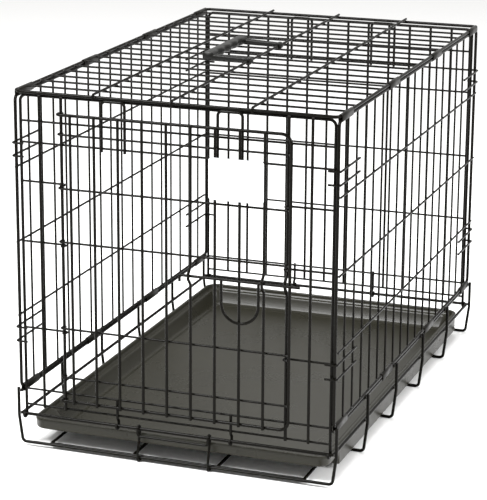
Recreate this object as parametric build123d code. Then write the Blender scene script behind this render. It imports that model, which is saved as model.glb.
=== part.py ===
from build123d import *
import os
from math import cos, pi, radians, sin

# Folding wire dog crate: a wire base with a slide-in floor pan, two wire sides and a wire top
# held together by wrapped sheet clips, and a front and a back panel that stand on the base.
# Millimetres, +Z up, +X to the right of the front, -Y towards the front. "depth" is measured
# back from the front face of the rails. The origin is under the middle of the whole box.

# Driving dimensions
width = 483.0
length = 762.0
top_rail_z = 532.0
side_foot_z = 91.2
side_top_z = 526.8
clip_length = 50.0
clip_depths = (33.0, 262.0, 500.0, 729.0)
base_rail_z = 86.0
hinge_rail_z = 51.0

# Wire radii
frame_r = 2.4
panel_frame_r = 2.2
bow_r = 2.3
post_r = 2.3
upright_r = 2.1
thin_r = 1.6
hinge_hook_r = 2.0
rail_wire_r = 1.6
long_wire_r = 1.9
stop_r = 1.8

fit_gap = 0.2
weld_gap = 0.05
moving_gap = 0.3

# Places shared by several pieces
rail_x = width / 2 - frame_r
rail_front = frame_r
rail_back = length - frame_r
side_pitch = (rail_back - rail_front) / 18
top_pitch = (rail_back - rail_front) / 19
hook_depth = -thin_r - fit_gap

# Front and back panels
panel_x = 233.4
panel_plane = 7.0
panel_top_z = 527.0
upright_foot_z = 63.5
upright_top_z = 528.5
back_upright_top_z = 524.6
panel_pitch = 33.72
upright_plane = 2.5
post_plane = 2.3
cross_plane = upright_plane + upright_r + thin_r + weld_gap + 0.05
post_x = 5 * panel_pitch
cross_end_x = panel_x - panel_frame_r - 0.3
full_cross_z = (490.0, 459.0, 89.0, 65.0)
short_cross_z = (402.0, 313.0, 183.0)
loop_top_z = 527.0
loop_foot_z = 455.0
front_hook_x = 87.0
back_hook_x = 71.8

# Door
door_right_x = 174.0
door_pitch = 36.1
door_top_z = 504.0
door_foot_z = 80.0
door_cross_z = (475.5, 397.5, 319.0, 190.0, 116.0)
door_frame_plane = post_plane - post_r - fit_gap - bow_r
door_cross_plane = post_plane - post_r - fit_gap - rail_wire_r
door_upright_plane = door_frame_plane - bow_r - upright_r - weld_gap
door_corner_r = 14.0
plate_x = 97.5
plate_z = 435.0
plate_width = 80.0
plate_height = 59.0
plate_sheet = 1.6

# Slide bolt: pushed home, its tip stands in front of the latch post
bolt_z = 293.0
bolt_r = 2.0
bolt_tip_x = 192.0
bolt_tail_x = 15.0
bolt_plane = door_upright_plane - upright_r - bolt_r - moving_gap
guide_plane = bolt_plane - bolt_r - upright_r - moving_gap
rest_plane = bolt_plane + bolt_r + post_r + moving_gap
pull_left_x = 77.0
pull_right_x = 131.6
pull_drop = 61.0

# The whole box runs from the bolt guides to the eyes of the back panel
box_front = guide_plane - upright_r
box_back = length + 2 * panel_frame_r + fit_gap
front_y = -(box_front + box_back) / 2

# Base
bow_top_x = rail_x + frame_r + bow_r + 0.1
bow_foot_x = 238.5
bow_foot_z = bow_r
front_foot_z = 7.0
runner_z = bow_foot_z + 2 * bow_r + 0.1
runner_x = (195.5, 65.0)
bow_count = 6

# Floor pan
pan_half = 228.0
pan_front = 10.0
pan_lip = 72.0
pan_back = length - 14.0
pan_foot_z = 9.6
pan_lip_z = 26.0
pan_top_z = 42.0
pan_wall = 2.4

# Carry handle, lying to the left about the middle long wire
long_wire_x = (-117.5, 0.0, 117.5)
cross_wire_z = top_rail_z + 0.5
long_wire_z = cross_wire_z + thin_r + long_wire_r + 0.6
handle_arm = 70.0


def at(x, depth, z):
    return Vector(x, front_y + depth, z)


def bar(start, end, radius):
    run = end - start
    return Solid.make_cylinder(radius, run.length, Plane(origin=start, z_dir=run.normalized()))


def bend(point, before, after, radius, bend_r):
    """One round bend of a wire at a corner, with the points where it meets its straight runs."""
    u = (point - before).normalized()
    v = (after - point).normalized()
    turn = u.get_angle(v)
    reach = bend_r * sin(radians(turn) / 2) / cos(radians(turn) / 2)
    start = point - u * reach
    inward = (v - u * u.dot(v)).normalized()
    section = Plane(origin=start, z_dir=u) * Circle(radius)
    axis = Axis(start + inward * bend_r, u.cross(v))
    return revolve(section, axis, turn).solid(), start, point + v * reach


def wire(points, radius, bend_r, closed=False):
    """A bent wire: straight runs and round bends that meet face to face."""
    count = len(points)
    radii = bend_r if isinstance(bend_r, (list, tuple)) else [bend_r] * count
    corners = range(count) if closed else range(1, count - 1)
    bends = {i: bend(points[i], points[i - 1], points[(i + 1) % count], radius, radii[i])
             for i in corners}
    solids = [b[0] for b in bends.values()]
    for i in range(count if closed else count - 1):
        j = (i + 1) % count
        start = bends[i][2] if i in bends else points[i]
        end = bends[j][1] if j in bends else points[j]
        solids.append(bar(start, end, radius))
    return solids


def ring(centre, start, axis, radius, sweep):
    """Part of a ring: the wire's section at start, turned about an axis through centre."""
    tangent = Vector(*axis).cross(start - centre)
    section = Plane(origin=start, z_dir=tangent) * Circle(radius)
    return revolve(section, Axis(centre, Vector(*axis)), sweep).solid()


def mirror_depth(solids):
    """The same piece at the back, turned round so that its inside still faces in."""
    middle = Plane.XZ.offset(-(front_y + length / 2))
    return [mirror(s, about=middle).solid() for s in solids]


nodes = {}


def add(name, solids):
    nodes[name] = solids


# Base: side rails that carry the sides, a loop that the end panels turn on, and bows
def base():
    add("base_side_rails", [bar(at(x, rail_front, base_rail_z), at(x, rail_back, base_rail_z), frame_r)
                            for x in (-rail_x, rail_x)])
    loop = [at(-rail_x, rail_front, hinge_rail_z), at(rail_x, rail_front, hinge_rail_z),
            at(rail_x, rail_back, hinge_rail_z), at(-rail_x, rail_back, hinge_rail_z)]
    add("base_hinge_loop", wire(loop, frame_r, 3.5, closed=True))

    def bow(depth, foot_z):
        half = [(bow_top_x, base_rail_z + 4), (bow_top_x, hinge_rail_z - 4), (bow_foot_x, foot_z)]
        right = [at(x, depth, z) for x, z in half]
        left = [at(-x, depth, z) for x, z in reversed(half)]
        return wire(right + left, bow_r, [0, 20, 6, 6, 20, 0])

    step = (rail_back - rail_front) / (bow_count - 1)
    add("base_front_bow", bow(rail_front, front_foot_z))
    add("base_back_bow", bow(rail_back, bow_foot_z))
    add("base_floor_bows", [s for i in range(1, bow_count - 1)
                            for s in bow(rail_front + i * step, bow_foot_z)])
    start = rail_front + 2 * bow_r + 0.2
    end = rail_back - 2 * bow_r - 0.2
    outer = [at(-runner_x[0], start, front_foot_z), at(runner_x[0], start, front_foot_z)]
    front_cross = bar(outer[0], outer[1], bow_r)
    back_cross = bar(at(-runner_x[0], end, runner_z), at(runner_x[0], end, runner_z), bow_r)
    runners = [bar(at(x, start + bow_r + 0.1, runner_z), at(x, end - bow_r - 0.1, runner_z), bow_r)
               for x in (-runner_x[0], runner_x[0])]
    add("base_floor_frame", [front_cross, back_cross] + runners)
    add("base_middle_runners", [bar(at(x, start + bow_r + 0.1, runner_z),
                                    at(x, end - bow_r - 0.1, runner_z), bow_r)
                                for x in (-runner_x[1], runner_x[1])])


# Floor pan: a shallow tray whose front part is a raised lip
def tray(inset, floor_rise, top):
    def block(front, foot):
        size_y = pan_back - inset - front
        box = Box(2 * (pan_half - inset), size_y, top - foot)
        box = fillet(box.edges().filter_by(Axis.Z), 20 - inset)
        return Pos(0, front_y + front + size_y / 2, (top + foot) / 2) * box
    whole = block(pan_front + inset, pan_lip_z + floor_rise)
    deep = block(pan_lip + inset, pan_foot_z + floor_rise)
    return whole + deep


def floor_pan():
    shell = tray(0, 0, pan_top_z) - tray(pan_wall, pan_wall, pan_top_z + 1)
    add("floor_pan", [shell.solid()])


# Sides: a closed frame, seventeen uprights, three outer rails and four end hooks
def side(name, sign):
    x = sign * rail_x
    corners = [(rail_front, side_foot_z), (rail_back, side_foot_z),
               (rail_back, side_top_z), (rail_front, side_top_z)]
    add(name + "_side_frame", wire([at(x, d, z) for d, z in corners], frame_r, 5, closed=True))
    pitch = side_pitch
    low = side_foot_z + frame_r + 0.1
    high = side_top_z - frame_r - 0.1
    add(name + "_side_uprights", [bar(at(x, rail_front + i * pitch, low),
                                      at(x, rail_front + i * pitch, high), thin_r)
                                  for i in range(1, 18)])
    outer_x = sign * (rail_x + thin_r + rail_wire_r + weld_gap)
    add(name + "_side_rails", [bar(at(outer_x, 5.2, z), at(outer_x, length - 5.2, z), rail_wire_r)
                               for z in (421.0, 310.0, 200.0)])
    hook_x = sign * (rail_x + frame_r + thin_r + weld_gap)
    tip_x = sign * 226.0
    tail = rail_front + 2 * pitch + 3
    hooks = []
    for z in (458.0, 439.0, 184.0, 163.0):
        path = [at(hook_x, tail, z), at(hook_x, hook_depth, z), at(tip_x, hook_depth, z)]
        hooks.extend(wire(path, thin_r, 3))
    add(name + "_front_hooks", hooks)
    add(name + "_back_hooks", mirror_depth(hooks))


# Wrapped clips that join two rails one above the other, notched where a wire leaves the rail
def clips(name, x, low_z, high_z, is_upper):
    gap = 0.15
    sheet = 0.85
    reach = 8.0
    middle = (low_z + high_z) / 2
    profile = SlotCenterToCenter(high_z - low_z, 2 * (frame_r + gap + sheet), rotation=90)
    profile -= SlotCenterToCenter(high_z - low_z, 2 * (frame_r + gap), rotation=90)
    made = []
    for depth in clip_depths:
        place = Plane(origin=at(x, depth + clip_length / 2, middle), x_dir=(1, 0, 0), z_dir=(0, -1, 0))
        clip = extrude(place * profile, clip_length)
        for i in range(1, 18):
            d = rail_front + i * side_pitch
            if abs(d - depth) < clip_length / 2 + 3:
                end = middle + (-reach if is_upper else reach)
                clip -= bar(at(x, d, middle), at(x, d, end), thin_r + gap)
        for i in range(1, 19):
            d = rail_front + i * top_pitch
            if is_upper and abs(d - depth) < clip_length / 2 + 3:
                inward = x - reach if x > 0 else x + reach
                clip -= bar(at(x, d, cross_wire_z), at(inward, d, cross_wire_z), thin_r + gap)
        made.append(clip.solid())
    add(name, made)


# Top: a closed frame, eighteen cross wires and three long wires hooked over the front rail
def top():
    corners = [(-rail_x, rail_front), (rail_x, rail_front), (rail_x, rail_back), (-rail_x, rail_back)]
    add("top_frame", wire([at(x, d, top_rail_z) for x, d in corners], frame_r, 5, closed=True))
    pitch = top_pitch
    end = rail_x - frame_r - 0.1
    add("top_cross_wires", [bar(at(-end, rail_front + i * pitch, cross_wire_z),
                                at(end, rail_front + i * pitch, cross_wire_z), thin_r)
                            for i in range(1, 19)])
    nose = -long_wire_r - 0.2
    longs = []
    for x in long_wire_x:
        path = [at(x, nose, top_rail_z - 3), at(x, nose, long_wire_z), at(x, length + 0.5, long_wire_z)]
        longs.extend(wire(path, long_wire_r, [0, 2.5, 0]))
    add("top_long_wires", longs)


# Eyes that turn on the hinge loop: the wire comes down behind the rail, under it and up in front
def rail_eye(x, radius, sweep=200):
    reach = frame_r + fit_gap + radius
    centre = at(x, rail_front, hinge_rail_z)
    return ring(centre, at(x, rail_front + reach, hinge_rail_z), (-1, 0, 0), radius, sweep), reach


def end_frame():
    eye_l, reach = rail_eye(-panel_x, panel_frame_r)
    eye_r = rail_eye(panel_x, panel_frame_r)[0]
    drop = rail_front + reach
    half = [(drop, hinge_rail_z), (drop, hinge_rail_z + 5), (panel_plane, hinge_rail_z + 13),
            (panel_plane, panel_top_z)]
    left = [at(-panel_x, d, z) for d, z in half]
    right = [at(panel_x, d, z) for d, z in reversed(half)]
    return wire(left + right, panel_frame_r, [0, 4, 4, 9, 9, 4, 4, 0]) + [eye_l, eye_r]


def hinge_hooks(hook_x):
    made = []
    for x in (-hook_x, hook_x):
        eye, reach = rail_eye(x, hinge_hook_r, 230)
        drop = rail_front + reach
        plane = cross_plane - thin_r - hinge_hook_r - weld_gap
        path = [at(x, drop, hinge_rail_z), at(x, drop, hinge_rail_z + 6),
                at(x, plane, hinge_rail_z + 11), at(x, plane, 91.0)]
        made.extend(wire(path, hinge_hook_r, 3))
        made.append(eye)
    return made


def top_loops(pairs):
    made = []
    for left, right in pairs:
        path = [at(left, upright_plane, loop_foot_z), at(left, upright_plane, loop_top_z),
                at(right, upright_plane, loop_top_z), at(right, upright_plane, loop_foot_z)]
        made.extend(wire(path, upright_r, 5))
    return made


def crosses(heights, spans):
    return [bar(at(a, cross_plane, z), at(b, cross_plane, z), thin_r) for z in heights for a, b in spans]


def front_panel():
    add("front_frame", end_frame())
    outer_x = 6 * panel_pitch
    low = upright_foot_z
    high = upright_top_z
    add("front_uprights", [bar(at(x, upright_plane, low), at(x, upright_plane, high), upright_r)
                           for x in (-outer_x, outer_x)])
    add("front_hinge_post", [bar(at(-post_x, post_plane, low), at(-post_x, post_plane, high), post_r)])
    rest = [(post_plane, low), (post_plane, bolt_z - 16), (rest_plane, bolt_z - 5),
            (rest_plane, bolt_z + 5), (post_plane, bolt_z + 16), (post_plane, high)]
    add("front_latch_post", wire([at(post_x, d, z) for d, z in rest], post_r, 4))
    add("front_cross_wires", crosses(full_cross_z, [(-cross_end_x, cross_end_x)]))
    inner = post_x - 3
    add("front_short_wires", crosses(short_cross_z, [(-cross_end_x, -inner), (inner, cross_end_x)]))
    add("front_top_loops", top_loops([(-107, -72), (66, 102)]))
    add("front_hinge_hooks", hinge_hooks(front_hook_x))


def back_panel():
    add("back_frame", mirror_depth(end_frame()))
    pitch = 2 * panel_x / 13
    low = upright_foot_z
    high = back_upright_top_z
    add("back_uprights", mirror_depth([bar(at(x, upright_plane, low), at(x, upright_plane, high), upright_r)
                                       for x in [(i - 5.5) * pitch for i in range(12)]]))
    heights = (490.0, 459.0, 421.0, 312.0, 203.0, 89.0, 65.0)
    add("back_cross_wires", mirror_depth(crosses(heights, [(-cross_end_x, cross_end_x)])))
    add("back_top_loops", mirror_depth(top_loops([(-83, -47), (59, 99)])))
    add("back_hinge_hooks", mirror_depth(hinge_hooks(back_hook_x)))


# Door: hung on the hinge post by the curled ends of its cross wires
def post_eye(z, radius, sweep):
    reach = post_r + fit_gap + radius
    centre = at(-post_x, post_plane, z)
    return ring(centre, at(-post_x, post_plane - reach, z), (0, 0, -1), radius, sweep)


def door():
    low = [(-post_x, door_foot_z), (door_right_x, door_foot_z)]
    high = [(door_right_x, door_top_z), (-post_x, door_top_z)]
    path = [at(x, door_frame_plane, z) for x, z in low + high]
    rim = wire(path, bow_r, door_corner_r)
    rim += [post_eye(z, bow_r, 200) for z in (door_foot_z, door_top_z)]
    add("door_frame", rim)
    end = door_right_x - bow_r - 0.1
    cross = []
    for z in door_cross_z:
        cross.append(bar(at(-post_x, door_cross_plane, z), at(end, door_cross_plane, z), rail_wire_r))
        cross.append(post_eye(z, rail_wire_r, 230))
    add("door_cross_wires", cross)
    bent = (4, 1)
    foot = door_foot_z - 2
    head = door_top_z + 2
    plain = []
    guides = []
    for i in range(1, 10):
        x = door_right_x - i * door_pitch
        if i in bent:
            kink = [(door_upright_plane, foot), (door_upright_plane, bolt_z - 13),
                    (guide_plane, bolt_z - 4), (guide_plane, bolt_z + 4),
                    (door_upright_plane, bolt_z + 13), (door_upright_plane, head)]
            guides.extend(wire([at(x, d, z) for d, z in kink], upright_r, 3))
        else:
            plain.append(bar(at(x, door_upright_plane, foot), at(x, door_upright_plane, head), upright_r))
    add("door_uprights", plain)
    add("door_bolt_guides", guides)
    plate = fillet(Box(plate_width, plate_sheet, plate_height).edges().filter_by(Axis.Y), 4)
    back = door_upright_plane - upright_r - 0.1
    centre = at(plate_x, back - plate_sheet / 2, plate_z)
    add("door_plate", [(Pos(centre.X, centre.Y, centre.Z) * plate).solid()])


def latch():
    path = [at(bolt_tail_x, bolt_plane, bolt_z - 9), at(bolt_tail_x, bolt_plane, bolt_z),
            at(bolt_tip_x, bolt_plane, bolt_z)]
    add("latch_bolt", wire(path, bolt_r, 4))
    middle = (pull_left_x + pull_right_x) / 2
    radius = (pull_right_x - pull_left_x) / 2
    turn_z = bolt_z - pull_drop + radius
    top_z = bolt_z - bolt_r - 0.05
    legs = [bar(at(x, bolt_plane, turn_z), at(x, bolt_plane, top_z), upright_r)
            for x in (pull_left_x, pull_right_x)]
    arcs = 6
    pull = []
    centre = at(middle, bolt_plane, turn_z)
    for i in range(arcs):
        angle = pi + i * pi / arcs
        start = centre + Vector(radius * cos(angle), 0, radius * sin(angle))
        pull.append(ring(centre, start, (0, -1, 0), upright_r, 180 / arcs))
    add("latch_pull", legs + pull)


# Pan stop: one wire that turns on the front rail, with a finger bar in front and two feet
# that reach under the front of the base
def pan_stop():
    reach = frame_r + fit_gap + stop_r
    arm_x = 54.0
    bar_z = hinge_rail_z - 10
    front = rail_front - reach
    made = []
    for sign in (-1, 1):
        x = sign * arm_x
        centre = at(x, rail_front, hinge_rail_z)
        behind = at(x, rail_front + reach, hinge_rail_z)
        made.append(ring(centre, behind, (1, 0, 0), stop_r, 180))
        shin = at(x, -stop_r - 0.1, 14)
        heel = at(x, -stop_r - 0.1, stop_r + 0.4)
        toe = at(x, 8.0, stop_r + 0.4)
        made.extend(wire([behind, at(x, rail_front + reach, 45), shin, heel, toe], stop_r,
                         [0, 8, 8, 3.6, 0]))
    finger = [at(-arm_x, front, hinge_rail_z), at(-arm_x, front, bar_z),
              at(arm_x, front, bar_z), at(arm_x, front, hinge_rail_z)]
    made.extend(wire(finger, stop_r, 4))
    add("pan_stop", made)


# Carry handle: a moulded bail with two eyes on the middle long wire
def handle():
    rise = 4.6
    arm_l = 68.0
    arm_w = 11.0
    arm_h = 9.6
    arm_rise = 3.1
    grip_w = 18.0
    grip_h = 12.0
    span = 2 * handle_arm + 14
    grip = fillet(Box(grip_w, span, grip_h).edges(), 5)
    body = Pos(-arm_l + 4, 0, rise) * grip
    for sign in (-1, 1):
        arm = fillet(Box(arm_l - 6, arm_w, arm_h).edges().filter_by(Axis.X), 3)
        body += Pos(-arm_l / 2, sign * handle_arm, arm_rise) * arm
        body += Pos(0, sign * handle_arm, 0) * (Rot(90, 0, 0) * Cylinder(5.6, arm_w))
        body -= Pos(0, sign * handle_arm, 0) * (Rot(90, 0, 0) * Cylinder(long_wire_r + 0.08, 20))
    centre = at(0, length / 2, long_wire_z)
    add("carry_handle", [(Pos(0, centre.Y, long_wire_z) * body).solid()])


base()
floor_pan()
side("left", -1)
side("right", 1)
for label, sign in (("left", -1), ("right", 1)):
    clips("upper_clips_" + label, sign * rail_x, side_top_z, top_rail_z, True)
    clips("lower_clips_" + label, sign * rail_x, base_rail_z, side_foot_z, False)
top()
front_panel()
back_panel()
door()
latch()
pan_stop()
handle()

os.makedirs("parts", exist_ok=True)
for name, solids in nodes.items():
    piece = solids[0] if len(solids) == 1 else Compound(solids)
    piece.label = name
    export_step(piece, f"parts/{name}.step")
    print(name, len(solids))
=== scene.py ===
import math
import bmesh
import bpy
from mathutils import Matrix, Vector


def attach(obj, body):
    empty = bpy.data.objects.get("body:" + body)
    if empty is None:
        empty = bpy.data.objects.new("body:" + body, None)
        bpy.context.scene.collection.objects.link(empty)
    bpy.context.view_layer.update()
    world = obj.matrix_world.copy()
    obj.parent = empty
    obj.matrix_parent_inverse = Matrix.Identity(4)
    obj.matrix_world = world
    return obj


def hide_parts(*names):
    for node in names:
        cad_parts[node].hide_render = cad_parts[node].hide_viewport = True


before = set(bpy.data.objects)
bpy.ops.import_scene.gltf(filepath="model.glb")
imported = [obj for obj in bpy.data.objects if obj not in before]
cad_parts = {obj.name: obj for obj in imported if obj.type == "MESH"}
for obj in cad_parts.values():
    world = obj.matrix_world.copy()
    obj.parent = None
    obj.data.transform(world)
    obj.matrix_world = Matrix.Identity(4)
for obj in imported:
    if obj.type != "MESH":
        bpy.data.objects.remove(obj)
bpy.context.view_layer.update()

mm = 0.001

# Sizes in mm. Depth runs back from the front face of the rails.
crate = {
    "frontY": -374.375,
    "length": 762.0,
    "railX": 239.1,
    "railR": 2.4,
    "railNear": 2.4,
    "railFar": 759.6,
    "topZ": 532.0,
    "sideTopZ": 526.8,
    "sideFootZ": 91.2,
    "baseRailZ": 86.0,
    "hingeZ": 51.0,
}


def spot(x, depth, z):
    return Vector((x * mm, (depth + crate["frontY"]) * mm, z * mm))


def turned(x, depth, z):
    # the same place at the back of the crate
    return (x, crate["length"] - depth, z)


def flipped(paths):
    return [[(*turned(a, b, c), r) for a, b, c, r in path] for path in paths]


# Finishes
def newFinish(name, look):
    mat = bpy.data.materials.new(name)
    mat.use_nodes = True
    tree = mat.node_tree
    shader = tree.nodes["Principled BSDF"]
    shader.inputs["Specular IOR Level"].default_value = look.get("specular", 0.5)
    place = tree.nodes.new("ShaderNodeTexCoord")
    mottle = tree.nodes.new("ShaderNodeTexNoise")
    mottle.inputs["Scale"].default_value = look["mottleScale"]
    mottle.inputs["Detail"].default_value = 4.0
    tree.links.new(place.outputs["Object"], mottle.inputs["Vector"])
    tint = tree.nodes.new("ShaderNodeMix")
    tint.data_type = "RGBA"
    tint.inputs["A"].default_value = (*look["dark"], 1)
    tint.inputs["B"].default_value = (*look["light"], 1)
    tree.links.new(mottle.outputs["Fac"], tint.inputs["Factor"])
    tree.links.new(tint.outputs["Result"], shader.inputs["Base Color"])
    sheen = tree.nodes.new("ShaderNodeMapRange")
    sheen.inputs["To Min"].default_value = look["rough"][0]
    sheen.inputs["To Max"].default_value = look["rough"][1]
    tree.links.new(mottle.outputs["Fac"], sheen.inputs["Value"])
    tree.links.new(sheen.outputs["Result"], shader.inputs["Roughness"])
    grain = tree.nodes.new("ShaderNodeTexNoise")
    grain.inputs["Scale"].default_value = look["grainScale"]
    tree.links.new(place.outputs["Object"], grain.inputs["Vector"])
    bump = tree.nodes.new("ShaderNodeBump")
    bump.inputs["Strength"].default_value = look["grain"]
    bump.inputs["Distance"].default_value = 0.0004
    tree.links.new(grain.outputs["Fac"], bump.inputs["Height"])
    tree.links.new(bump.outputs["Normal"], shader.inputs["Normal"])
    return mat


finishes = {
    "coatedWire": newFinish("coatedWire", {
        "dark": (0.0016, 0.0014, 0.0009), "light": (0.0045, 0.0040, 0.0027), "rough": (0.18, 0.27),
        "mottleScale": 60, "grainScale": 900, "grain": 0.08, "specular": 0.07}),
    "weldBead": newFinish("weldBead", {
        "dark": (0.004, 0.004, 0.003), "light": (0.020, 0.019, 0.015), "rough": (0.2, 0.36),
        "mottleScale": 300, "grainScale": 1500, "grain": 0.3, "specular": 0.5}),
    "clipSheet": newFinish("clipSheet", {
        "dark": (0.004, 0.0037, 0.003), "light": (0.010, 0.0093, 0.0075), "rough": (0.26, 0.40),
        "mottleScale": 90, "grainScale": 1200, "grain": 0.12, "specular": 0.12}),
    "plateSheet": newFinish("plateSheet", {
        "dark": (0.80, 0.83, 0.86), "light": (0.84, 0.87, 0.90), "rough": (0.34, 0.44), "mottleScale": 40,
        "grainScale": 1100, "grain": 0.05, "specular": 0.4}),
    "panPlastic": newFinish("panPlastic", {
        "dark": (0.015, 0.0142, 0.0098), "light": (0.025, 0.024, 0.0170), "rough": (0.22, 0.34),
        "mottleScale": 9, "grainScale": 1600, "grain": 0.05, "specular": 0.20}),
    "handlePlastic": newFinish("handlePlastic", {
        "dark": (0.005, 0.005, 0.0045), "light": (0.010, 0.010, 0.009), "rough": (0.28, 0.40),
        "mottleScale": 50, "grainScale": 2200, "grain": 0.2, "specular": 0.16}),
}
print("finishes ready")


# Geometry node trees
def newTree(name, wanted):
    tree = bpy.data.node_groups.new(name, "GeometryNodeTree")
    ids = {}
    for label, kind in wanted:
        socket = tree.interface.new_socket(name=label, in_out="INPUT", socket_type=kind)
        ids[label] = socket.identifier
    tree.interface.new_socket(name="Geometry", in_out="OUTPUT", socket_type="NodeSocketGeometry")
    nodes = tree.nodes
    return tree, ids, nodes.new("NodeGroupInput"), nodes.new("NodeGroupOutput")


def finishTree(tree, geometry, entry, exitNode, smooth=True):
    nodes, link = tree.nodes, tree.links.new
    shade = nodes.new("GeometryNodeSetShadeSmooth")
    shade.inputs["Shade Smooth"].default_value = smooth
    link(geometry, shade.inputs["Geometry"])
    real = nodes.new("GeometryNodeRealizeInstances")
    link(shade.outputs["Geometry"], real.inputs["Geometry"])
    paint = nodes.new("GeometryNodeSetMaterial")
    link(real.outputs["Geometry"], paint.inputs["Geometry"])
    link(entry.outputs["Material"], paint.inputs["Material"])
    link(paint.outputs["Geometry"], exitNode.inputs["Geometry"])


def bentWireTree():
    # edges with a "bend" radius at every corner become a round wire
    tree, ids, entry, exitNode = newTree("bentWire", [
        ("Geometry", "NodeSocketGeometry"), ("Wire Radius", "NodeSocketFloat"),
        ("Sides", "NodeSocketInt"), ("Bend Steps", "NodeSocketInt"), ("Material", "NodeSocketMaterial")])
    nodes, link = tree.nodes, tree.links.new
    curve = nodes.new("GeometryNodeMeshToCurve")
    link(entry.outputs["Geometry"], curve.inputs["Mesh"])
    bend = nodes.new("GeometryNodeInputNamedAttribute")
    bend.data_type = "FLOAT"
    bend.inputs["Name"].default_value = "bend"
    fillet = nodes.new("GeometryNodeFilletCurve")
    if "Mode" in fillet.inputs:
        fillet.inputs["Mode"].default_value = "Poly"
    else:
        fillet.mode = "POLY"
    link(curve.outputs["Curve"], fillet.inputs["Curve"])
    link(bend.outputs["Attribute"], fillet.inputs["Radius"])
    link(entry.outputs["Bend Steps"], fillet.inputs["Count"])
    fillet.inputs["Limit Radius"].default_value = True
    ring = nodes.new("GeometryNodeCurvePrimitiveCircle")
    link(entry.outputs["Wire Radius"], ring.inputs["Radius"])
    link(entry.outputs["Sides"], ring.inputs["Resolution"])
    tube = nodes.new("GeometryNodeCurveToMesh")
    tube.inputs["Fill Caps"].default_value = True
    link(fillet.outputs["Curve"], tube.inputs["Curve"])
    link(ring.outputs["Curve"], tube.inputs["Profile Curve"])
    finishTree(tree, tube.outputs["Mesh"], entry, exitNode)
    return tree, ids


def wireRowTree():
    # one straight wire, repeated Count times, Step apart
    tree, ids, entry, exitNode = newTree("wireRow", [
        ("Geometry", "NodeSocketGeometry"), ("Start", "NodeSocketVector"), ("Run", "NodeSocketVector"),
        ("Step", "NodeSocketVector"), ("Count", "NodeSocketInt"), ("Wire Radius", "NodeSocketFloat"),
        ("Sides", "NodeSocketInt"), ("Material", "NodeSocketMaterial")])
    nodes, link = tree.nodes, tree.links.new
    line = nodes.new("GeometryNodeCurvePrimitiveLine")
    link(entry.outputs["Run"], line.inputs["End"])
    ring = nodes.new("GeometryNodeCurvePrimitiveCircle")
    link(entry.outputs["Wire Radius"], ring.inputs["Radius"])
    link(entry.outputs["Sides"], ring.inputs["Resolution"])
    tube = nodes.new("GeometryNodeCurveToMesh")
    tube.inputs["Fill Caps"].default_value = True
    link(line.outputs["Curve"], tube.inputs["Curve"])
    link(ring.outputs["Curve"], tube.inputs["Profile Curve"])
    places = nodes.new("GeometryNodeMeshLine")
    places.mode = "OFFSET"
    link(entry.outputs["Count"], places.inputs["Count"])
    link(entry.outputs["Start"], places.inputs["Start Location"])
    link(entry.outputs["Step"], places.inputs["Offset"])
    copies = nodes.new("GeometryNodeInstanceOnPoints")
    link(places.outputs["Mesh"], copies.inputs["Points"])
    link(tube.outputs["Mesh"], copies.inputs["Instance"])
    finishTree(tree, copies.outputs["Instances"], entry, exitNode)
    return tree, ids


def weldBeadTree():
    # a small bead of metal on every point, a little different each time
    tree, ids, entry, exitNode = newTree("weldBeads", [
        ("Geometry", "NodeSocketGeometry"), ("Bead Size", "NodeSocketVector"), ("Seed", "NodeSocketInt"),
        ("Material", "NodeSocketMaterial")])
    nodes, link = tree.nodes, tree.links.new
    ball = nodes.new("GeometryNodeMeshUVSphere")
    ball.inputs["Segments"].default_value = 8
    ball.inputs["Rings"].default_value = 5
    ball.inputs["Radius"].default_value = 1.0
    uneven = nodes.new("FunctionNodeRandomValue")
    uneven.data_type = "FLOAT"
    uneven.inputs[2].default_value = 0.86
    uneven.inputs[3].default_value = 1.0
    link(entry.outputs["Seed"], uneven.inputs["Seed"])
    size = nodes.new("ShaderNodeVectorMath")
    size.operation = "SCALE"
    link(entry.outputs["Bead Size"], size.inputs[0])
    link(uneven.outputs[1], size.inputs["Scale"])
    copies = nodes.new("GeometryNodeInstanceOnPoints")
    link(entry.outputs["Geometry"], copies.inputs["Points"])
    link(ball.outputs["Mesh"], copies.inputs["Instance"])
    link(size.outputs["Vector"], copies.inputs["Scale"])
    finishTree(tree, copies.outputs["Instances"], entry, exitNode)
    return tree, ids


trees = {"bentWire": bentWireTree(), "wireRow": wireRowTree(), "weldBeads": weldBeadTree()}


def grow(name, treeName, points, edges, values, bends=None):
    # runs one tree on a small helper mesh and keeps the result as a plain mesh
    helper = bpy.data.meshes.new(name + "Guide")
    helper.from_pydata([tuple(p) for p in points], edges, [])
    if bends is not None:
        attr = helper.attributes.new("bend", "FLOAT", "POINT")
        attr.data.foreach_set("value", bends)
    guide = bpy.data.objects.new(name + "Guide", helper)
    bpy.context.scene.collection.objects.link(guide)
    tree, ids = trees[treeName]
    modifier = guide.modifiers.new(treeName, "NODES")
    modifier.node_group = tree
    for label, value in values.items():
        modifier[ids[label]] = value
    seen = guide.evaluated_get(bpy.context.evaluated_depsgraph_get())
    mesh = bpy.data.meshes.new_from_object(seen)
    guide.modifiers.remove(modifier)
    bpy.data.objects.remove(guide)
    return mesh


def bentWires(name, paths, radius, closed=False, sides=14, steps=7, finish="coatedWire"):
    # each path is a list of (x, depth, z, bend radius) in mm
    points, edges, bends = [], [], []
    for path in paths:
        first = len(points)
        for x, depth, z, bend in path:
            points.append(spot(x, depth, z))
            bends.append(bend * mm)
        edges += [(first + i, first + i + 1) for i in range(len(path) - 1)]
        if closed:
            edges.append((first + len(path) - 1, first))
    return grow(name, "bentWire", points, edges, {
        "Wire Radius": radius * mm, "Sides": sides, "Bend Steps": steps, "Material": finishes[finish]}, bends)


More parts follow.
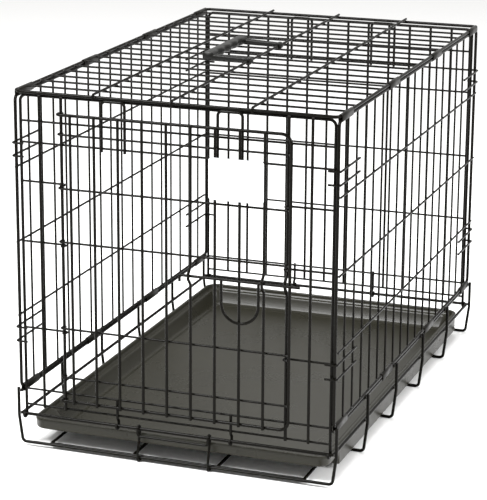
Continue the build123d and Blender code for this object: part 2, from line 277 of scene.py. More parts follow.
def wireRow(name, start, run, step, count, radius, sides=12):
    lead = spot(*start)
    return grow(name, "wireRow", [(0, 0, 0)], [], {
        "Start": lead, "Run": Vector(run) * mm, "Step": Vector(step) * mm, "Count": count,
        "Wire Radius": radius * mm, "Sides": sides, "Material": finishes["coatedWire"]})


def weldBeads(name, places, size, seed):
    return grow(name, "weldBeads", [spot(*p) for p in places], [], {
        "Bead Size": Vector(size) * mm, "Seed": seed, "Material": finishes["weldBead"]})


def keep(name, meshes, body, nodes=()):
    # joins meshes into one piece that rides on a body
    work = bmesh.new()
    materials = []
    for mesh in meshes:
        offset = {}
        for i, mat in enumerate(mesh.materials):
            if mat not in materials:
                materials.append(mat)
            offset[i] = materials.index(mat)
        before = len(work.faces)
        work.from_mesh(mesh)
        work.faces.ensure_lookup_table()
        for face in work.faces[before:]:
            face.material_index = offset.get(face.material_index, 0)
    joined = bpy.data.meshes.new(name)
    work.to_mesh(joined)
    work.free()
    for mat in materials:
        joined.materials.append(mat)
    for attr in [a for a in joined.attributes if a.name == "bend"]:
        joined.attributes.remove(attr)
    piece = bpy.data.objects.new(name, joined)
    bpy.context.scene.collection.objects.link(piece)
    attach(piece, body)
    if nodes:
        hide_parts(*nodes)
    return piece


def joinSeams(piece, degrees):
    # merges the rings that meet and marks the sharp edges
    work = bmesh.new()
    work.from_mesh(piece.data)
    bmesh.ops.remove_doubles(work, verts=work.verts, dist=1e-7)
    bmesh.ops.recalc_face_normals(work, faces=work.faces)
    work.to_mesh(piece.data)
    work.free()
    piece.data.set_sharp_from_angle(angle=math.radians(degrees))


# Lofted shapes
def bridge(work, rings):
    # faces between neighbouring rings of equal length
    rows = [[work.verts.new(p) for p in ring] for ring in rings]
    count = len(rows[0])
    for a, b in zip(rows, rows[1:]):
        for i in range(count):
            j = (i + 1) % count
            work.faces.new((a[i], a[j], b[j], b[i]))
    return rows, count


def loft(rings, capStart=True, capEnd=True, finish="coatedWire", smooth=True):
    # rings joined side by side; caps are fans round a middle point
    work = bmesh.new()
    rows, count = bridge(work, rings)
    for row, wanted in ((rows[0], capStart), (rows[-1], capEnd)):
        if wanted:
            middle = work.verts.new(sum((v.co for v in row), Vector()) / count)
            for i in range(count):
                work.faces.new((row[i], middle, row[(i + 1) % count]))
    bmesh.ops.recalc_face_normals(work, faces=work.faces)
    for face in work.faces:
        face.smooth = smooth
    mesh = bpy.data.meshes.new("loft")
    work.to_mesh(mesh)
    work.free()
    mesh.materials.append(finishes[finish])
    return mesh


def roundedOutline(halfX, near, far, radius, steps=8, along=24):
    # corners of a rounded rectangle seen from above, the left half mirroring the right one
    right = [(0.0, near)]
    for i in range(steps + 1):
        a = -math.pi / 2 + i * math.pi / 2 / steps
        right.append((halfX - radius + radius * math.cos(a), near + radius + radius * math.sin(a)))
    span = far - near - 2 * radius
    right += [(halfX, near + radius + span * i / along) for i in range(1, along)]
    for i in range(steps + 1):
        a = i * math.pi / 2 / steps
        right.append((halfX - radius + radius * math.cos(a), far - radius + radius * math.sin(a)))
    right.append((0.0, far))
    return right + [(-x, y) for x, y in reversed(right[1:-1])]


# Base
base = {"bowR": 2.3, "bowTopX": 243.9, "bowFootX": 238.5, "bows": 6, "frontFootZ": 7.0,
        "runnerZ": 7.0, "runnerX": (195.5, 65.0), "crossNear": 7.2, "crossFar": 754.8,
        "loopBend": 3.5, "weldX": 2.1, "runnerGap": 2.4}


def bowPath(depth, footZ):
    top, foot = base["bowTopX"], base["bowFootX"]
    right = [(top, depth, 90.0, 0), (top, depth, 47.0, 20), (foot, depth, footZ, 6)]
    return right + [(-x, d, z, b) for x, d, z, b in reversed(right)]


def makeBase():
    rx, near, far = crate["railX"], crate["railNear"], crate["railFar"]
    thick, bend, bowR = crate["railR"], base["loopBend"], base["bowR"]
    rails = wireRow("sideRail", (-rx, near, crate["baseRailZ"]), (0, far - near, 0), (2 * rx, 0, 0), 2,
                    thick, 16)
    keep("baseSideRails", [rails], "crate", ["base_side_rails"])
    hingeZ = crate["hingeZ"]
    loop = bentWires("hingeLoop", [[(-rx, near, hingeZ, bend), (rx, near, hingeZ, bend),
                                    (rx, far, hingeZ, bend), (-rx, far, hingeZ, bend)]],
                     thick, closed=True, sides=16)
    step = (far - near) / (base["bows"] - 1)
    depths = [near + i * step for i in range(base["bows"])]
    weldX = rx + base["weldX"]
    loopWelds = [(s * weldX, d, hingeZ) for s in (-1, 1) for d in depths]
    railWelds = [(s * weldX, d, crate["baseRailZ"]) for s in (-1, 1) for d in depths]
    keep("baseHingeLoop", [loop], "crate", ["base_hinge_loop"])
    front = bentWires("frontBow", [bowPath(depths[0], base["frontFootZ"])], bowR, steps=9)
    back = bentWires("backBow", [bowPath(depths[-1], bowR)], bowR, steps=9)
    middle = bentWires("floorBows", [bowPath(d, bowR) for d in depths[1:-1]], bowR, steps=9)
    keep("baseFrontBow", [front], "crate", ["base_front_bow"])
    keep("baseBackBow", [back], "crate", ["base_back_bow"])
    beads = weldBeads("bowBeads", loopWelds + railWelds, (1.9, 2.6, 2.6), 3)
    keep("baseFloorBows", [middle, beads], "crate", ["base_floor_bows"])
    a, b = base["crossNear"], base["crossFar"]
    outer, inner = base["runnerX"]
    z, gap = base["runnerZ"], base["runnerGap"]
    across = (2 * outer, 0, 0)
    cross = wireRow("frontCross", (-outer, a, base["frontFootZ"]), across, (0, 0, 0), 1, bowR)
    crossBack = wireRow("backCross", (-outer, b, z), across, (0, 0, 0), 1, bowR)
    run = (0, b - a - 2 * gap, 0)
    outerRunners = wireRow("outerRunners", (-outer, a + gap, z), run, across, 2, bowR)
    innerRunners = wireRow("innerRunners", (-inner, a + gap, z), run, (2 * inner, 0, 0), 2, bowR)
    runnerWelds = [(s * x, d, 4.7) for s in (-1, 1) for x in (outer, inner) for d in depths[1:-1]]
    endWelds = [(s * x, d, 6.4) for s in (-1, 1) for x in (outer, inner) for d in (a + 1.2, b - 1.2)]
    beads = weldBeads("runnerBeads", runnerWelds + endWelds, (2.6, 2.6, 1.8), 5)
    keep("baseFloorFrame", [cross, crossBack, outerRunners, beads], "crate", ["base_floor_frame"])
    keep("baseMiddleRunners", [innerRunners], "crate", ["base_middle_runners"])
    print("base made")


makeBase()

# Floor pan
pan = {"half": 228.0, "near": 10.0, "lipEnd": 64.0, "deepFrom": 73.5, "far": 748.0, "footZ": 9.7,
       "lipZ": 26.1, "topZ": 41.9, "corner": 20.0, "sheet": 2.4}


def panFoot(depth):
    t = min(1.0, max(0.0, (depth - pan["lipEnd"]) / (pan["deepFrom"] - pan["lipEnd"])))
    return pan["lipZ"] + (pan["footZ"] - pan["lipZ"]) * (3 * t * t - 2 * t * t * t)


def panOutline(inset):
    corner = max(3.0, pan["corner"] - inset * 0.5)
    near, far = pan["near"] + inset, pan["far"] - inset
    flat = roundedOutline(pan["half"] - inset, near, far, corner, 8, 2)
    # extra places along the sides follow the step of the lip
    stops = [52, 60, 64, 66, 68, 70, 72, 74, 76, 82, 200, 380, 560, 700]
    # the outline's first 21 places are its right half, with the one along the side in the middle
    right = flat[:21]
    return right[:10], [(pan["half"] - inset, s) for s in stops], right[11:]


def panRing(inset, height):
    lead, side, tail = panOutline(inset)
    right = lead + side + tail
    full = right + [(-x, y) for x, y in reversed(right[1:-1])]
    return [spot(x, y, height(y)) for x, y in full], len(right)


def makePan():
    sheet = pan["sheet"]
    top = pan["topZ"]

    def part(d, share):
        # a height between the floor of the pan and its rim
        low = panFoot(d) + sheet
        return low + (top - low) * share

    outside = [
        (3.2, lambda d: panFoot(d)), (1.6, lambda d: panFoot(d) + 0.6), (0.9, lambda d: panFoot(d) + 2.4),
        (0.5, lambda d: top - 5.0), (0.1, lambda d: top - 4.4), (0.0, lambda d: top - 3.6),
        (0.0, lambda d: top - 1.4), (0.5, lambda d: top - 0.4), (1.5, lambda d: top),
        (3.6, lambda d: top), (4.4, lambda d: top - 0.4), (4.8, lambda d: top - 1.6),
        (5.0, lambda d: top - 4.6)]
    inside = [
        (5.6, lambda d: part(d, 0.80)), (6.8, lambda d: part(d, 0.74)), (11.5, lambda d: part(d, 0.73)),
        (12.4, lambda d: part(d, 0.70)), (13.2, lambda d: part(d, 0.62)), (20.5, lambda d: part(d, 0.12)),
        (22.0, lambda d: part(d, 0.04)), (24.5, lambda d: part(d, 0.0)), (27.0, lambda d: part(d, 0.0)),
        (28.0, lambda d: part(d, 0.02)), (31.0, lambda d: part(d, 0.02)), (32.0, lambda d: part(d, 0.0))]
    rings, half = [], 0
    for inset, height in outside + inside:
        ring, half = panRing(inset, height)
        rings.append(ring)
    work = bmesh.new()
    rows, count = bridge(work, rings)
    # strips straight across close the floor and the underside
    for row in (rows[0], rows[-1]):
        for i in range(half - 1):
            j, k = (count - i) % count, count - i - 1
            quad = [row[i], row[i + 1], row[k], row[j]]
            kept = []
            for v in quad:
                if v not in kept:
                    kept.append(v)
            if len(kept) > 2:
                work.faces.new(kept)
    bmesh.ops.recalc_face_normals(work, faces=work.faces)
    for face in work.faces:
        face.smooth = True
    mesh = bpy.data.meshes.new("pan")
    work.to_mesh(mesh)
    work.free()
    mesh.materials.append(finishes["panPlastic"])
    piece = keep("floorPan", [mesh], "crate", ["floor_pan"])
    for edge in piece.data.edges:
        edge.use_edge_sharp = False
    piece.data.set_sharp_from_angle(angle=math.radians(50))
    print("pan made")


makePan()

# Sides
side = {"pitches": 18, "uprightR": 1.6, "railZ": (421.0, 310.0, 200.0), "railR": 1.6, "railX": 242.35,
        "hookZ": (458.0, 439.0, 184.0, 163.0), "hookX": 243.15, "hookDepth": -1.8, "tipX": 226.0,
        "corner": 9.0, "hookR": 1.6, "hookBend": 3.2, "railNear": 5.2, "bead": (0.9, 1.9, 1.9)}


def makeSide(name, sign):
    near, far = crate["railNear"], crate["railFar"]
    low, high = crate["sideFootZ"], crate["sideTopZ"]
    x = sign * crate["railX"]
    rim = [(x, near, low, side["corner"]), (x, far, low, side["corner"]),
           (x, far, high, side["corner"]), (x, near, high, side["corner"])]
    keep(name + "SideFrame", [bentWires("rim", [rim], crate["railR"], closed=True, sides=16)], "crate",
         [name + "_side_frame"])
    pitches = side["pitches"]
    pitch = (far - near) / pitches
    between = range(1, pitches)
    rows = wireRow("uprights", (x, near + pitch, low), (0, 0, high - low), (0, pitch, 0), pitches - 1,
                   side["uprightR"])
    feet = [(x, near + i * pitch, z) for i in between for z in (low + 2.2, high - 2.2)]
    beads = weldBeads("footBeads", feet, (2.0, 2.2, 1.6), 11)
    keep(name + "SideUprights", [rows, beads], "crate", [name + "_side_uprights"])
    start = side["railNear"]
    run = (0, crate["length"] - 2 * start, 0)
    rails = [wireRow("rail", (sign * side["railX"], start, z), run, (0, 0, 0), 1, side["railR"])
             for z in side["railZ"]]
    crossings = [(sign * (side["railX"] - side["railR"]), near + i * pitch, z)
                 for i in between for z in side["railZ"]]
    crossings += [(sign * (side["railX"] - 1.2), d, z) for d in (near + 2, far - 2) for z in side["railZ"]]
    beads = weldBeads("railBeads", crossings, side["bead"], 13)
    keep(name + "SideRails", rails + [beads], "crate", [name + "_side_rails"])
    tail = near + 2 * pitch + 3
    hookX, hookDepth = sign * side["hookX"], side["hookDepth"]
    hooks = [[(hookX, tail, z, 0), (hookX, hookDepth, z, side["hookBend"]),
              (sign * side["tipX"], hookDepth, z, 0)] for z in side["hookZ"]]
    welds = [(sign * (side["hookX"] - 1.4), d, z) for z in side["hookZ"]
             for d in (near, near + pitch, near + 2 * pitch)]
    beads = weldBeads("hookBeads", welds, side["bead"], 17)
    keep(name + "FrontHooks", [bentWires("hooks", hooks, side["hookR"], steps=6), beads], "crate",
         [name + "_front_hooks"])
    backHooks = flipped(hooks)
    beads = weldBeads("hookBeads", [turned(*p) for p in welds], side["bead"], 19)
    keep(name + "BackHooks", [bentWires("hooks", backHooks, side["hookR"], steps=6), beads], "crate",
         [name + "_back_hooks"])
    print(name, "side made")


for sideName, sideSign in (("left", -1), ("right", 1)):
    makeSide(sideName, sideSign)

# Clips
clip = {"length": 50.0, "depths": (33.0, 262.0, 500.0, 729.0), "outer": 3.4, "inner": 2.6}


def slotRing(x, depth, lowZ, highZ, radius, count=9):
    points = []
    for i in range(count):
        a = math.pi * i / (count - 1)
        points.append(spot(x + radius * math.cos(a), depth, highZ + radius * math.sin(a)))
    for i in range(count):
        a = math.pi + math.pi * i / (count - 1)
        points.append(spot(x + radius * math.cos(a), depth, lowZ + radius * math.sin(a)))
    return points


def makeClips(name, x, lowZ, highZ, node):
    made = []
    half = clip["length"] / 2
    for depth in clip["depths"]:
        outer, inner = clip["outer"], clip["inner"]
        ends = [(-half, inner), (-half, outer - 0.25), (-half + 0.3, outer), (half - 0.3, outer),
                (half, outer - 0.25), (half, inner), (-half, inner)]
        rings = [slotRing(x, depth + d, lowZ, highZ, r) for d, r in ends]
        made.append(loft(rings, False, False, "clipSheet"))
    piece = keep(name, made, "crate", [node])
    joinSeams(piece, 40)


for sideName, sideSign in (("left", -1), ("right", 1)):
    cx = sideSign * crate["railX"]
    makeClips(sideName + "UpperClips", cx, crate["sideTopZ"], crate["topZ"], "upper_clips_" + sideName)
    makeClips(sideName + "LowerClips", cx, crate["baseRailZ"], crate["sideFootZ"], "lower_clips_" + sideName)
print("clips made")

# Top
top = {"crosses": 18, "crossR": 1.6, "crossZ": 532.5, "longX": (-117.5, 0.0, 117.5), "longR": 1.9,
       "longZ": 536.6, "longEnd": 762.5, "nose": -2.1, "corner": 9.0}


def makeTop():
    rx, near, far, z = crate["railX"], crate["railNear"], crate["railFar"], crate["topZ"]
    c = top["corner"]
    rim = [(-rx, near, z, c), (rx, near, z, c), (rx, far, z, c), (-rx, far, z, c)]
    frameWire = bentWires("topRim", [rim], crate["railR"], closed=True, sides=16)
    keep("topFrame", [frameWire], "crate", ["top_frame"])
    pitch = (far - near) / (top["crosses"] + 1)
    between = range(1, top["crosses"] + 1)
    rows = wireRow("crosses", (-rx + 1.5, near + pitch, top["crossZ"]), (2 * rx - 3, 0, 0), (0, pitch, 0),
                   top["crosses"], top["crossR"])
    ends = [(s * (rx - 2.3), near + i * pitch, top["crossZ"]) for s in (-1, 1) for i in between]
    beads = weldBeads("crossBeads", ends, (1.7, 2.2, 1.9), 23)
    keep("topCrossWires", [rows, beads], "crate", ["top_cross_wires"])
    longs = [[(x, top["nose"], z - 3, 0), (x, top["nose"], top["longZ"], 2.6),
              (x, top["longEnd"], top["longZ"], 0)] for x in top["longX"]]
    crossings = [(x, near + i * pitch, top["crossZ"] + 1.7) for x in top["longX"] for i in between]
    beads = weldBeads("longBeads", crossings, (2.3, 2.3, 1.0), 29)
    noseBeads = weldBeads("noseBeads", [(x, -0.3, z + 0.4) for x in top["longX"]], (2.7, 2.0, 2.2), 31)
    keep("topLongWires", [bentWires("longs", longs, top["longR"]), beads, noseBeads], "crate",
         ["top_long_wires"])
    print("top made")


makeTop()

# End panels
panel = {"x": 233.4, "plane": 7.0, "topZ": 527.0, "frameR": 2.2, "corner": 9.0, "gap": 0.2,
         "uprightPlane": 2.5, "uprightR": 2.1, "uprightZ": (63.5, 528.5), "backUprightLength": 461.1,
         "crossPlane": 6.3, "crossR": 1.6, "crossEnd": 231.2, "fullZ": (490.0, 459.0, 89.0, 65.0),
         "shortZ": (402.0, 313.0, 183.0), "backCrossZ": (490.0, 459.0, 421.0, 312.0, 203.0, 89.0, 65.0),
         "hookX": 87.0, "backHookX": 71.8, "hookR": 2.0, "hookTopZ": 91.0,
         "postX": 168.6, "postPlane": 2.3, "postR": 2.3, "boltZ": 293.0, "boltPlane": -6.75, "curl": 3.92,
         "outerX": 202.32, "loopTopZ": 527.0, "loopFootZ": 455.0, "loopWeldZ": 459.0,
         "loops": ((-107.0, -72.0), (66.0, 102.0)), "backLoops": ((-83.0, -47.0), (59.0, 99.0)),
         "backCount": 12, "bead": (1.9, 0.9, 1.9), "endBead": (1.6, 1.7, 1.8)}


def eyeStart(x, radius, lift):
    # the wire comes up in front of the rail, under it and away behind it
    reach = crate["railR"] + panel["gap"] + radius
    z = crate["hingeZ"]
    near = crate["railNear"]
    return [(x, near - reach, z + lift, 0), (x, near - reach, z - reach, reach - 0.01),
            (x, near + reach, z - reach, reach - 0.01)], near + reach


def panelFrame():
    start, drop = eyeStart(-panel["x"], panel["frameR"], 1.6)
    z = crate["hingeZ"]
    x = panel["x"]
    up = start + [(-x, drop, z + 5, 4), (-x, panel["plane"], z + 13, 4),
                  (-x, panel["plane"], panel["topZ"], panel["corner"])]
    return up + [(-a, b, c, r) for a, b, c, r in reversed(up)]


def panelHooks(hookX):
    paths = []
    for x in (-hookX, hookX):
        start, drop = eyeStart(x, panel["hookR"], 2.6)
        z = crate["hingeZ"]
        plane = panel["crossPlane"] - panel["crossR"] - panel["hookR"] - 0.05
        paths.append(start + [(x, drop, z + 6, 3), (x, plane, z + 11, 3), (x, plane, panel["hookTopZ"], 0)])
    return paths


def panelLoops(pairs):
    plane, high, low = panel["uprightPlane"], panel["loopTopZ"], panel["loopFootZ"]
    return [[(a, plane, low, 0), (a, plane, high, 6), (b, plane, high, 6), (b, plane, low, 0)]
            for a, b in pairs]


def makeFrontPanel():
    body = "front_panel"
    rim = bentWires("frontRim", [panelFrame()], panel["frameR"], sides=16, steps=10)
    keep("frontFrame", [rim], body, ["front_frame"])
    px, pz = panel["postX"], panel["postPlane"]
    plane, end = panel["crossPlane"], panel["crossEnd"]
    weld = plane - panel["crossR"]
    low, high = panel["uprightZ"]
    full, short = panel["fullZ"], panel["shortZ"]
    outer = [[(s * panel["outerX"], panel["uprightPlane"], z, 0) for z in (low, high)] for s in (-1, 1)]
    crossings = [(s * panel["outerX"], weld, z) for s in (-1, 1) for z in full + short]
    beads = weldBeads("sideBeads", crossings, panel["bead"], 37)
    keep("frontUprights", [bentWires("outer", outer, panel["uprightR"]), beads], body, ["front_uprights"])
    post = bentWires("hingePost", [[(-px, pz, low, 0), (-px, pz, high, 0)]], panel["postR"])
    postBeads = weldBeads("postBeads", [(-px, plane - 1.7, z) for z in full], (2.1, 0.9, 2.0), 41)
    keep("frontHingePost", [post, postBeads], body, ["front_hinge_post"])
    z, rest = panel["boltZ"], panel["boltPlane"]
    kink = [(px, pz, low, 0), (px, pz, z - 16, 5), (px, rest, z - 5, 5), (px, rest, z + 5, 5),
            (px, pz, z + 16, 5), (px, pz, high, 0)]
    postBeads = weldBeads("postBeads", [(px, plane - 1.7, h) for h in full], (2.1, 0.9, 2.0), 43)
    keep("frontLatchPost", [bentWires("latchPost", [kink], panel["postR"]), postBeads], body,
         ["front_latch_post"])
    rows = bentWires("fullCross", [[(-end, plane, h, 0), (end, plane, h, 0)] for h in full], panel["crossR"])
    frameWelds = [(s * (end - 0.2), plane + 0.3, z) for s in (-1, 1) for z in full + short]
    beads = weldBeads("frameBeads", frameWelds, panel["endBead"], 47)
    keep("frontCrossWires", [rows, beads], body, ["front_cross_wires"])
    # short wires curl once round the post they meet
    curl = panel["curl"]
    shorts = [[(s * end, plane, h, 0), (s * (px - curl), plane, h, curl - 0.01),
               (s * (px - curl), pz - curl, h, curl - 0.01), (s * (px + 1.4), pz - curl, h, 0)]
              for s in (-1, 1) for h in short]
    keep("frontShortWires", [bentWires("short", shorts, panel["crossR"], steps=8)], body,
         ["front_short_wires"])
    loops = bentWires("loops", panelLoops(panel["loops"]), panel["uprightR"])
    beads = weldBeads("loopBeads", [(x, weld, panel["loopWeldZ"]) for pair in panel["loops"] for x in pair],
                      panel["bead"], 53)
    keep("frontTopLoops", [loops, beads], body, ["front_top_loops"])
    hooks = bentWires("hooks", panelHooks(panel["hookX"]), panel["hookR"], steps=10)
    beads = weldBeads("hookBeads", [(s * panel["hookX"], weld, h) for s in (-1, 1) for h in (65, 89)],
                      (1.8, 0.9, 1.8), 59)
    keep("frontHingeHooks", [hooks, beads], body, ["front_hinge_hooks"])
    print("front panel made")


def makeBackPanel():
    body = "back_panel"
    plane, end = panel["crossPlane"], panel["crossEnd"]
    rim = bentWires("backRim", flipped([panelFrame()]), panel["frameR"], sides=16, steps=10)
    keep("backFrame", [rim], body, ["back_frame"])
    count = panel["backCount"]
    pitch = 2 * panel["x"] / (count + 1)
    first = -(count - 1) / 2 * pitch
    rows = wireRow("backUprights", turned(first, panel["uprightPlane"], panel["uprightZ"][0]),
                   (0, 0, panel["backUprightLength"]), (pitch, 0, 0), count, panel["uprightR"])
    heights = panel["backCrossZ"]
    places = [turned(first + i * pitch, plane - panel["crossR"], z) for i in range(count) for z in heights]
    beads = weldBeads("backBeads", places, panel["bead"], 61)
    keep("backUprights", [rows, beads], body, ["back_uprights"])
    paths = [[(-end, plane, z, 0), (end, plane, z, 0)] for z in heights]
    ends = [turned(s * (end - 0.2), plane + 0.3, z) for s in (-1, 1) for z in heights]
    beads = weldBeads("backEndBeads", ends, panel["endBead"], 67)
    keep("backCrossWires", [bentWires("backCross", flipped(paths), panel["crossR"]), beads], body,
         ["back_cross_wires"])
    loops = bentWires("backLoops", flipped(panelLoops(panel["backLoops"])), panel["uprightR"])
    keep("backTopLoops", [loops], body, ["back_top_loops"])
    hooks = bentWires("backHooks", flipped(panelHooks(panel["backHookX"])), panel["hookR"], steps=10)
    keep("backHingeHooks", [hooks], body, ["back_hinge_hooks"])
    print("back panel made")


makeFrontPanel()
makeBackPanel()

# Door
door = {"rightX": 174.0, "pitch": 36.1, "topZ": 504.0, "footZ": 80.0, "framePlane": -2.5, "frameR": 2.3,
        "crossPlane": -1.8, "crossR": 1.6, "uprightPlane": -6.95, "uprightR": 2.1, "guidePlane": -15.75,
        "crossZ": (475.5, 397.5, 319.0, 190.0, 116.0), "boltZ": 293.0, "corner": 14.0,
        "plateX": 97.5, "plateZ": 435.0, "plateW": 80.0, "plateH": 59.0, "frameCurl": 4.8, "crossCurl": 4.1,
        "guides": (1, 4), "uprights": 9}


def postCurl(z, reach):
    # starts behind the hinge post, goes round its left side and runs on along the door
    px, pz = -panel["postX"], panel["postPlane"]
    return [(px + 1.2, pz + reach, z, 0), (px - reach, pz + reach, z, reach - 0.01),
            (px - reach, pz - reach, z, reach - 0.01)]


def makeDoor():
    body = "door"
    right = door["rightX"]
    rim = postCurl(door["footZ"], door["frameCurl"])
    rim += [(right, door["framePlane"], z, door["corner"]) for z in (door["footZ"], door["topZ"])]
    rim += list(reversed(postCurl(door["topZ"], door["frameCurl"])))
    keep("doorFrame", [bentWires("doorRim", [rim], door["frameR"], sides=16, steps=9)], body, ["door_frame"])
    crosses = [postCurl(z, door["crossCurl"]) + [(right - 2.1, door["crossPlane"], z, 0)]
               for z in door["crossZ"]]
    uprightX = [right - i * door["pitch"] for i in range(1, door["uprights"] + 1)]
    beads = weldBeads("doorBeads", [(x, -4.4, z) for x in uprightX for z in door["crossZ"]],
                      (2.2, 1.3, 1.9), 71)
    endBeads = weldBeads("doorEndBeads", [(right - 2.4, -2.1, z) for z in door["crossZ"]],
                         (1.5, 1.8, 1.9), 73)
    wires = bentWires("doorCross", crosses, door["crossR"], steps=8)
    keep("doorCrossWires", [wires, beads, endBeads], body, ["door_cross_wires"])
    plain = [x for i, x in enumerate(uprightX, 1) if i not in door["guides"]]
    low, high = door["footZ"] - 2, door["topZ"] + 2
    flat = door["uprightPlane"]
    rows = bentWires("doorUprights", [[(x, flat, low, 0), (x, flat, high, 0)] for x in plain],
                     door["uprightR"])
    feet = [(x, -4.8, z) for x in uprightX for z in (door["footZ"], door["topZ"])]
    beads = weldBeads("doorFootBeads", feet, (2.2, 0.9, 2.1), 79)
    keep("doorUprights", [rows, beads], body, ["door_uprights"])
    z, out = door["boltZ"], door["guidePlane"]
    kinks = [[(x, flat, low, 0), (x, flat, z - 13, 4), (x, out, z - 4, 3.4), (x, out, z + 4, 3.4),
              (x, flat, z + 13, 4), (x, flat, high, 0)] for x in (uprightX[i - 1] for i in door["guides"])]
    keep("doorBoltGuides", [bentWires("guides", kinks, door["uprightR"])], body, ["door_bolt_guides"])
    backY = flat - door["uprightR"] - 0.1
    outline = roundedOutline(door["plateW"] / 2, -door["plateH"] / 2, door["plateH"] / 2, 4.0, 5, 2)
    rings = []
    for inset, y in ((1.0, 0), (0.35, 0), (0.0, 0.35), (0.0, 1.25), (0.35, 1.6), (1.0, 1.6), (3.4, 1.6),
                     (3.9, 1.35), (4.4, 1.3)):
        sx = 1 - inset / (door["plateW"] / 2)
        sz = 1 - inset / (door["plateH"] / 2)
        rings.append([spot(door["plateX"] + a * sx, backY - y, door["plateZ"] + b * sz) for a, b in outline])
    keep("doorPlate", [loft(rings, finish="plateSheet", smooth=False)], body, ["door_plate"])
    print("door made")


makeDoor()

# Slide bolt
bolt = {"plane": -11.35, "radius": 2.0, "z": 293.0, "tip": 192.0, "tail": 15.0, "legs": (77.0, 131.6),
        "drop": 61.0, "pullR": 2.1}


def makeBolt():
    y, z = bolt["plane"], bolt["z"]
    tail, end = bolt["tail"], bolt["tip"]
    rod = bentWires("rod", [[(tail, y, z - 9, 0), (tail, y, z, 4), (end - 0.6, y, z, 0)]],
                    bolt["radius"], sides=16)
    tip = weldBeads("tip", [(end - 0.9, y, z)], (0.9, 1.98, 1.98), 83)
    keep("latchBolt", [rod, tip], "latch", ["latch_bolt"])
    a, b = bolt["legs"]
    half = (b - a) / 2
    foot = z - bolt["drop"]
    pull = bentWires("pull", [[(a, y, z - 1.2, 0), (a, y, foot, half - 0.02), (b, y, foot, half - 0.02),
                               (b, y, z - 1.2, 0)]], bolt["pullR"], steps=18)
    beads = weldBeads("pullBeads", [(x, y, z - 1.9) for x in (a, b)], (2.3, 2.0, 1.5), 89)
    keep("latchPull", [pull, beads], "latch", ["latch_pull"])
    print("bolt made")


makeBolt()

# Pan stop
stop = {"armX": 54.0, "radius": 1.8, "barZ": 41.0}


def makePanStop():
    reach = crate["railR"] + panel["gap"] + stop["radius"]
    near, z = crate["railNear"], crate["hingeZ"]
    half = []
    for s in (-1, 1):
        x = s * stop["armX"]
        half.append([(x, 8.0, 2.2, 0), (x, -1.9, 2.2, 3.6), (x, -1.9, 14.0, 8), (x, near + reach, 45.0, 8),
                     (x, near + reach, z + reach, reach - 0.01), (x, near - reach, z + reach, reach - 0.01),
                     (x, near - reach, stop["barZ"], 4)])
    path = half[0] + list(reversed(half[1]))
    keep("panStop", [bentWires("stopWire", [path], stop["radius"], steps=9)], "pan_stop", ["pan_stop"])
    print("pan stop made")


makePanStop()

# Carry handle
handle = {"arm": 70.0, "gripX": -64.0, "gripW": 18.0, "gripH": 12.0, "rise": 4.6, "pivotZ": 536.6,
          "midDepth": 381.0, "fingers": 4, "fingerDepth": 1.5, "fingerSpan": 60, "endRound": 5,
          "gripPast": 7, "armLong": 60, "armWide": 5.4, "armTall": 4.7, "armRise": 3.1,
          "eyeR": 5.5, "boreR": 2.0, "eyeHalf": 5.4}


def bulge(value, power):
    # below 1 the power turns a circle into a rounded square
    return math.copysign(abs(value) ** power, value)


def turns(count):
    angles = [2 * math.pi * i / count for i in range(count)]
    return [(math.cos(a), math.sin(a)) for a in angles]


def makeGrip():
    span = handle["arm"] + handle["gripPast"]
    soft, reach = handle["endRound"], handle["fingerSpan"]
    steps = 64
    rings = []
    for i in range(steps + 1):
        y = span * (-1 + 2 * i / steps)
        past = max(0.0, (abs(y) - span + soft) / soft)
        edge = min(1.0, math.sqrt(max(0.0, 1 - past ** 2)) + 0.25)
        wave = 0.0
        if abs(y) < reach:
            turn = 2 * math.pi * handle["fingers"] * (y + reach) / (2 * reach)
            wave = handle["fingerDepth"] * (1 - math.cos(turn)) / 2
        halfX = (handle["gripW"] / 2 - wave) * edge
        halfZ = handle["gripH"] / 2 * edge
        rings.append([spot(handle["gripX"] - wave + halfX * bulge(c, 0.55), handle["midDepth"] + y,
                           handle["pivotZ"] + handle["rise"] + halfZ * bulge(q, 0.55)) for c, q in turns(20)])
    return loft(rings, finish="handlePlastic")


def makeArm(middle):
    rings = []
    for i in range(9):
        t = i / 8
        x = -2 - handle["armLong"] * t
        tall = handle["armTall"] * (0.8 + 0.2 * t)
        wide = handle["armWide"] * (0.72 + 0.28 * t)
        z = handle["pivotZ"] + handle["armRise"] * (0.35 + 0.65 * t)
        rings.append([spot(x, middle + wide * bulge(c, 0.6), z + tall * bulge(q, 0.6)) for c, q in turns(16)])
    return loft(rings, finish="handlePlastic")


def makeEye(middle):
    # a short sleeve that turns on the long wire
    rim, bore, half = handle["eyeR"], handle["boreR"], handle["eyeHalf"]
    outline = ((-half, bore), (-half, rim - 0.5), (-half + 0.5, rim), (half - 0.5, rim), (half, rim - 0.5),
               (half, bore), (-half, bore))
    rings = [[spot(r * c, middle + y, handle["pivotZ"] + r * q) for c, q in turns(28)] for y, r in outline]
    return loft(rings, False, False, "handlePlastic")


def makeHandle():
    parts = [makeGrip()]
    for s in (-1, 1):
        middle = handle["midDepth"] + s * handle["arm"]
        parts += [makeArm(middle), makeEye(middle)]
    joinSeams(keep("carryHandle", parts, "carry_handle", ["carry_handle"]), 55)
    print("handle made")


makeHandle()

# Floor, light, camera
studio = {"floor": (0.92, 0.92, 0.92), "world": 1.0, "ambient": 0.74, "keyPower": 150,
          "fillPower": 60}


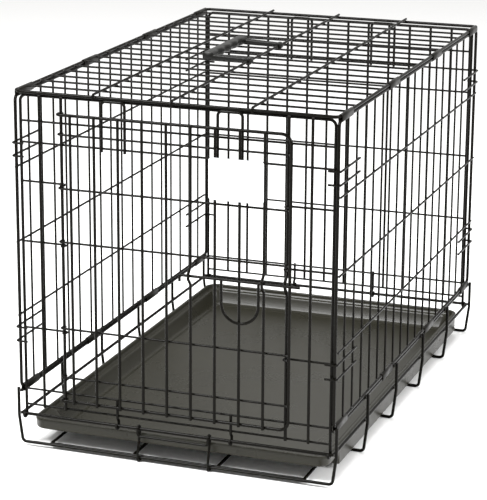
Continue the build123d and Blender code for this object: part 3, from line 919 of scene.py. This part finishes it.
def makeStudio():
    work = bmesh.new()
    bmesh.ops.create_grid(work, x_segments=1, y_segments=1, size=8)
    mesh = bpy.data.meshes.new("studioFloor")
    work.to_mesh(mesh)
    work.free()
    mat = bpy.data.materials.new("paleFloor")
    mat.use_nodes = True
    shader = mat.node_tree.nodes["Principled BSDF"]
    shader.inputs["Base Color"].default_value = (*studio["floor"], 1)
    shader.inputs["Roughness"].default_value = 0.9
    shader.inputs["Specular IOR Level"].default_value = 0.1
    mesh.materials.append(mat)
    floor = bpy.data.objects.new("studioFloor", mesh)
    bpy.context.scene.collection.objects.link(floor)
    world = bpy.data.worlds.new("studio")
    bpy.context.scene.world = world
    world.use_nodes = True
    back = world.node_tree.nodes["Background"]
    back.inputs["Color"].default_value = (1.0, 0.995, 0.98, 1)
    rays = world.node_tree.nodes.new("ShaderNodeLightPath")
    level = world.node_tree.nodes.new("ShaderNodeMapRange")
    level.inputs["To Min"].default_value = studio["ambient"]
    level.inputs["To Max"].default_value = studio["world"]
    world.node_tree.links.new(rays.outputs["Is Camera Ray"], level.inputs["Value"])
    world.node_tree.links.new(level.outputs["Result"], back.inputs["Strength"])
    for name, place, size, power in (("keyLight", (-1.2, -2.0, 2.6), 1.0, studio["keyPower"]),
                                     ("fillLight", (2.4, -1.2, 1.6), 1.0, studio["fillPower"]),
                                     ("topLight", (0.2, 0.8, 3.0), 1.4, studio["fillPower"])):
        data = bpy.data.lights.new(name, "AREA")
        data.shape = "DISK"
        data.size = size
        data.energy = power
        light = bpy.data.objects.new(name, data)
        light.location = place
        light.rotation_euler = (Vector((0, 0, 0.25)) - Vector(place)).to_track_quat("-Z", "Y").to_euler()
        bpy.context.scene.collection.objects.link(light)
    bpy.context.scene.view_settings.view_transform = "Standard"
    print("studio made")


camera = {"x": 1052.4, "depth": -2628.6, "z": 1131.4, "pitch": 15.445, "yaw": -20.334, "roll": 0.242,
          "lens": 151.9, "shiftX": 0.0368, "shiftY": -0.034}


def makeCamera():
    p, y, r = (math.radians(camera[k]) for k in ("pitch", "yaw", "roll"))
    forward = Vector((math.sin(y) * math.cos(p), math.cos(y) * math.cos(p), -math.sin(p)))
    right = Vector((math.cos(y), -math.sin(y), 0))
    down = forward.cross(right)
    rightRolled = right * math.cos(r) - down * math.sin(r)
    downRolled = right * math.sin(r) + down * math.cos(r)
    data = bpy.data.cameras.new("studioLens")
    data.lens = camera["lens"]
    data.shift_x = camera["shiftX"]
    data.shift_y = camera["shiftY"]
    data.clip_start = 0.1
    data.clip_end = 50
    cam = bpy.data.objects.new("studioCamera", data)
    axes = Matrix((rightRolled, -downRolled, -forward)).transposed().to_4x4()
    axes.translation = spot(camera["x"], camera["depth"], camera["z"])
    cam.matrix_world = axes
    bpy.context.scene.collection.objects.link(cam)
    bpy.context.scene.camera = cam
    print("camera made")


makeStudio()
makeCamera()
